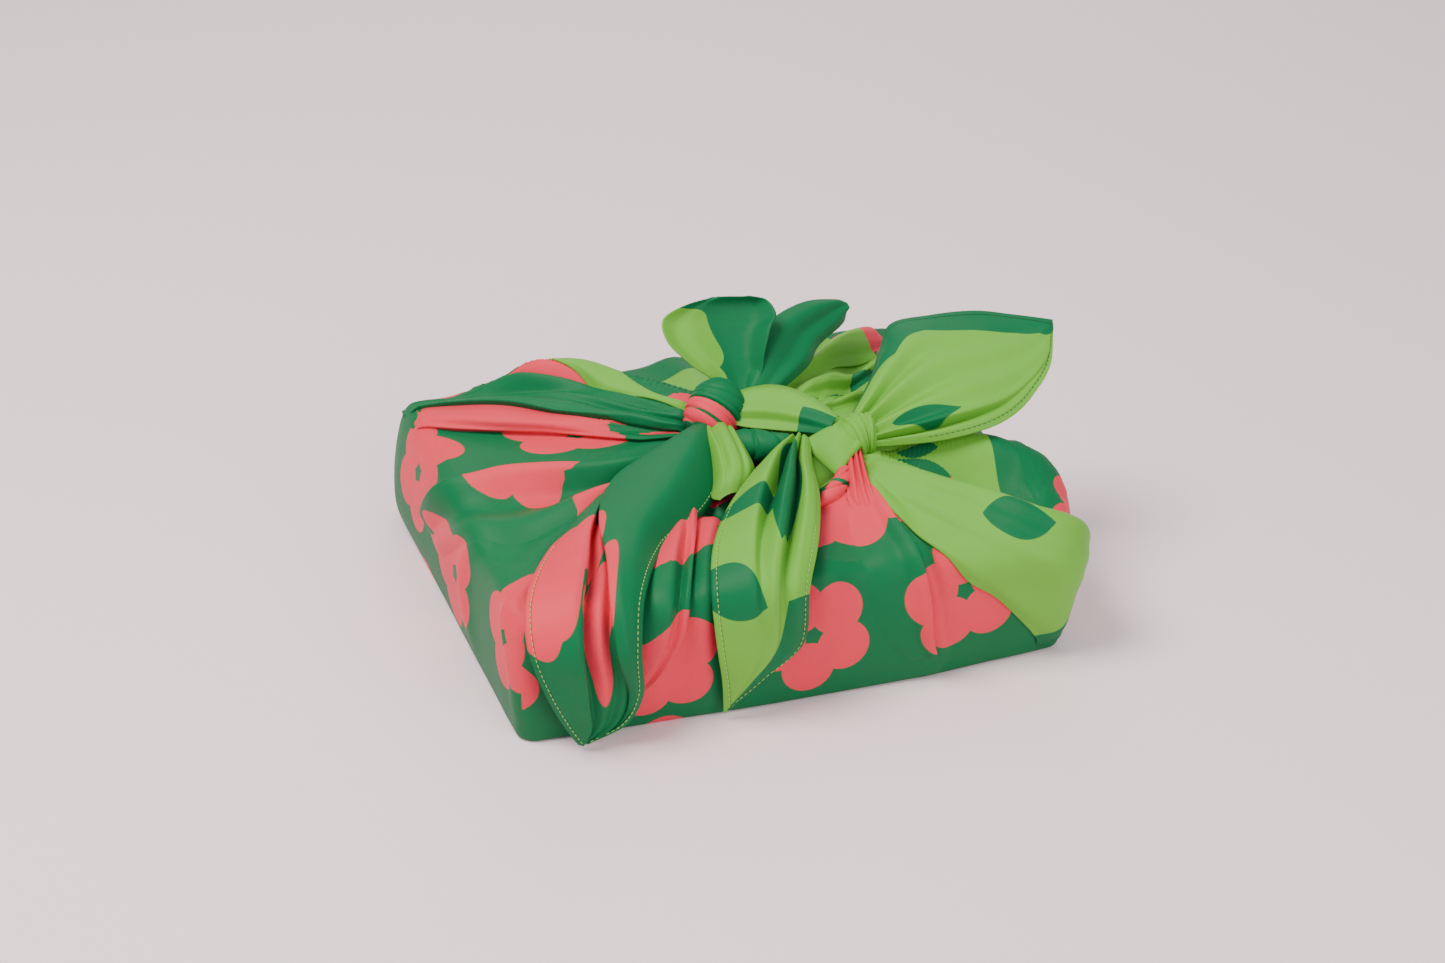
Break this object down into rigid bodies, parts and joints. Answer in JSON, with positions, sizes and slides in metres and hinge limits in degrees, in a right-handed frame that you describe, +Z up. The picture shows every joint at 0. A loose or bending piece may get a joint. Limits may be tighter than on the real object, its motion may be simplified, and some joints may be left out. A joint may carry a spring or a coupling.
{
  "type": "furoshiki wrap tied around a flat carton",
  "caption": "Square printed cloth drawn up round a flat carton and tied with two knots on top, the free ends draped over the front and fanned up behind.",
  "frame": {"origin": "middle of the carton's footprint, on the flat underside that the wrap rests on", "axes": "+X to the right along the long front side, +Y to the back, +Z up towards the knots"},
  "size_m": [0.3859, 0.2994, 0.1623],
  "materials": {
    "cloth": "printed cotton sateen, soft sheen",
    "carton": "plain brown card"
  },
  "bodies": {
    "root": {"cloth": "cloth", "carton": "carton"}
  },
  "joints": []
}
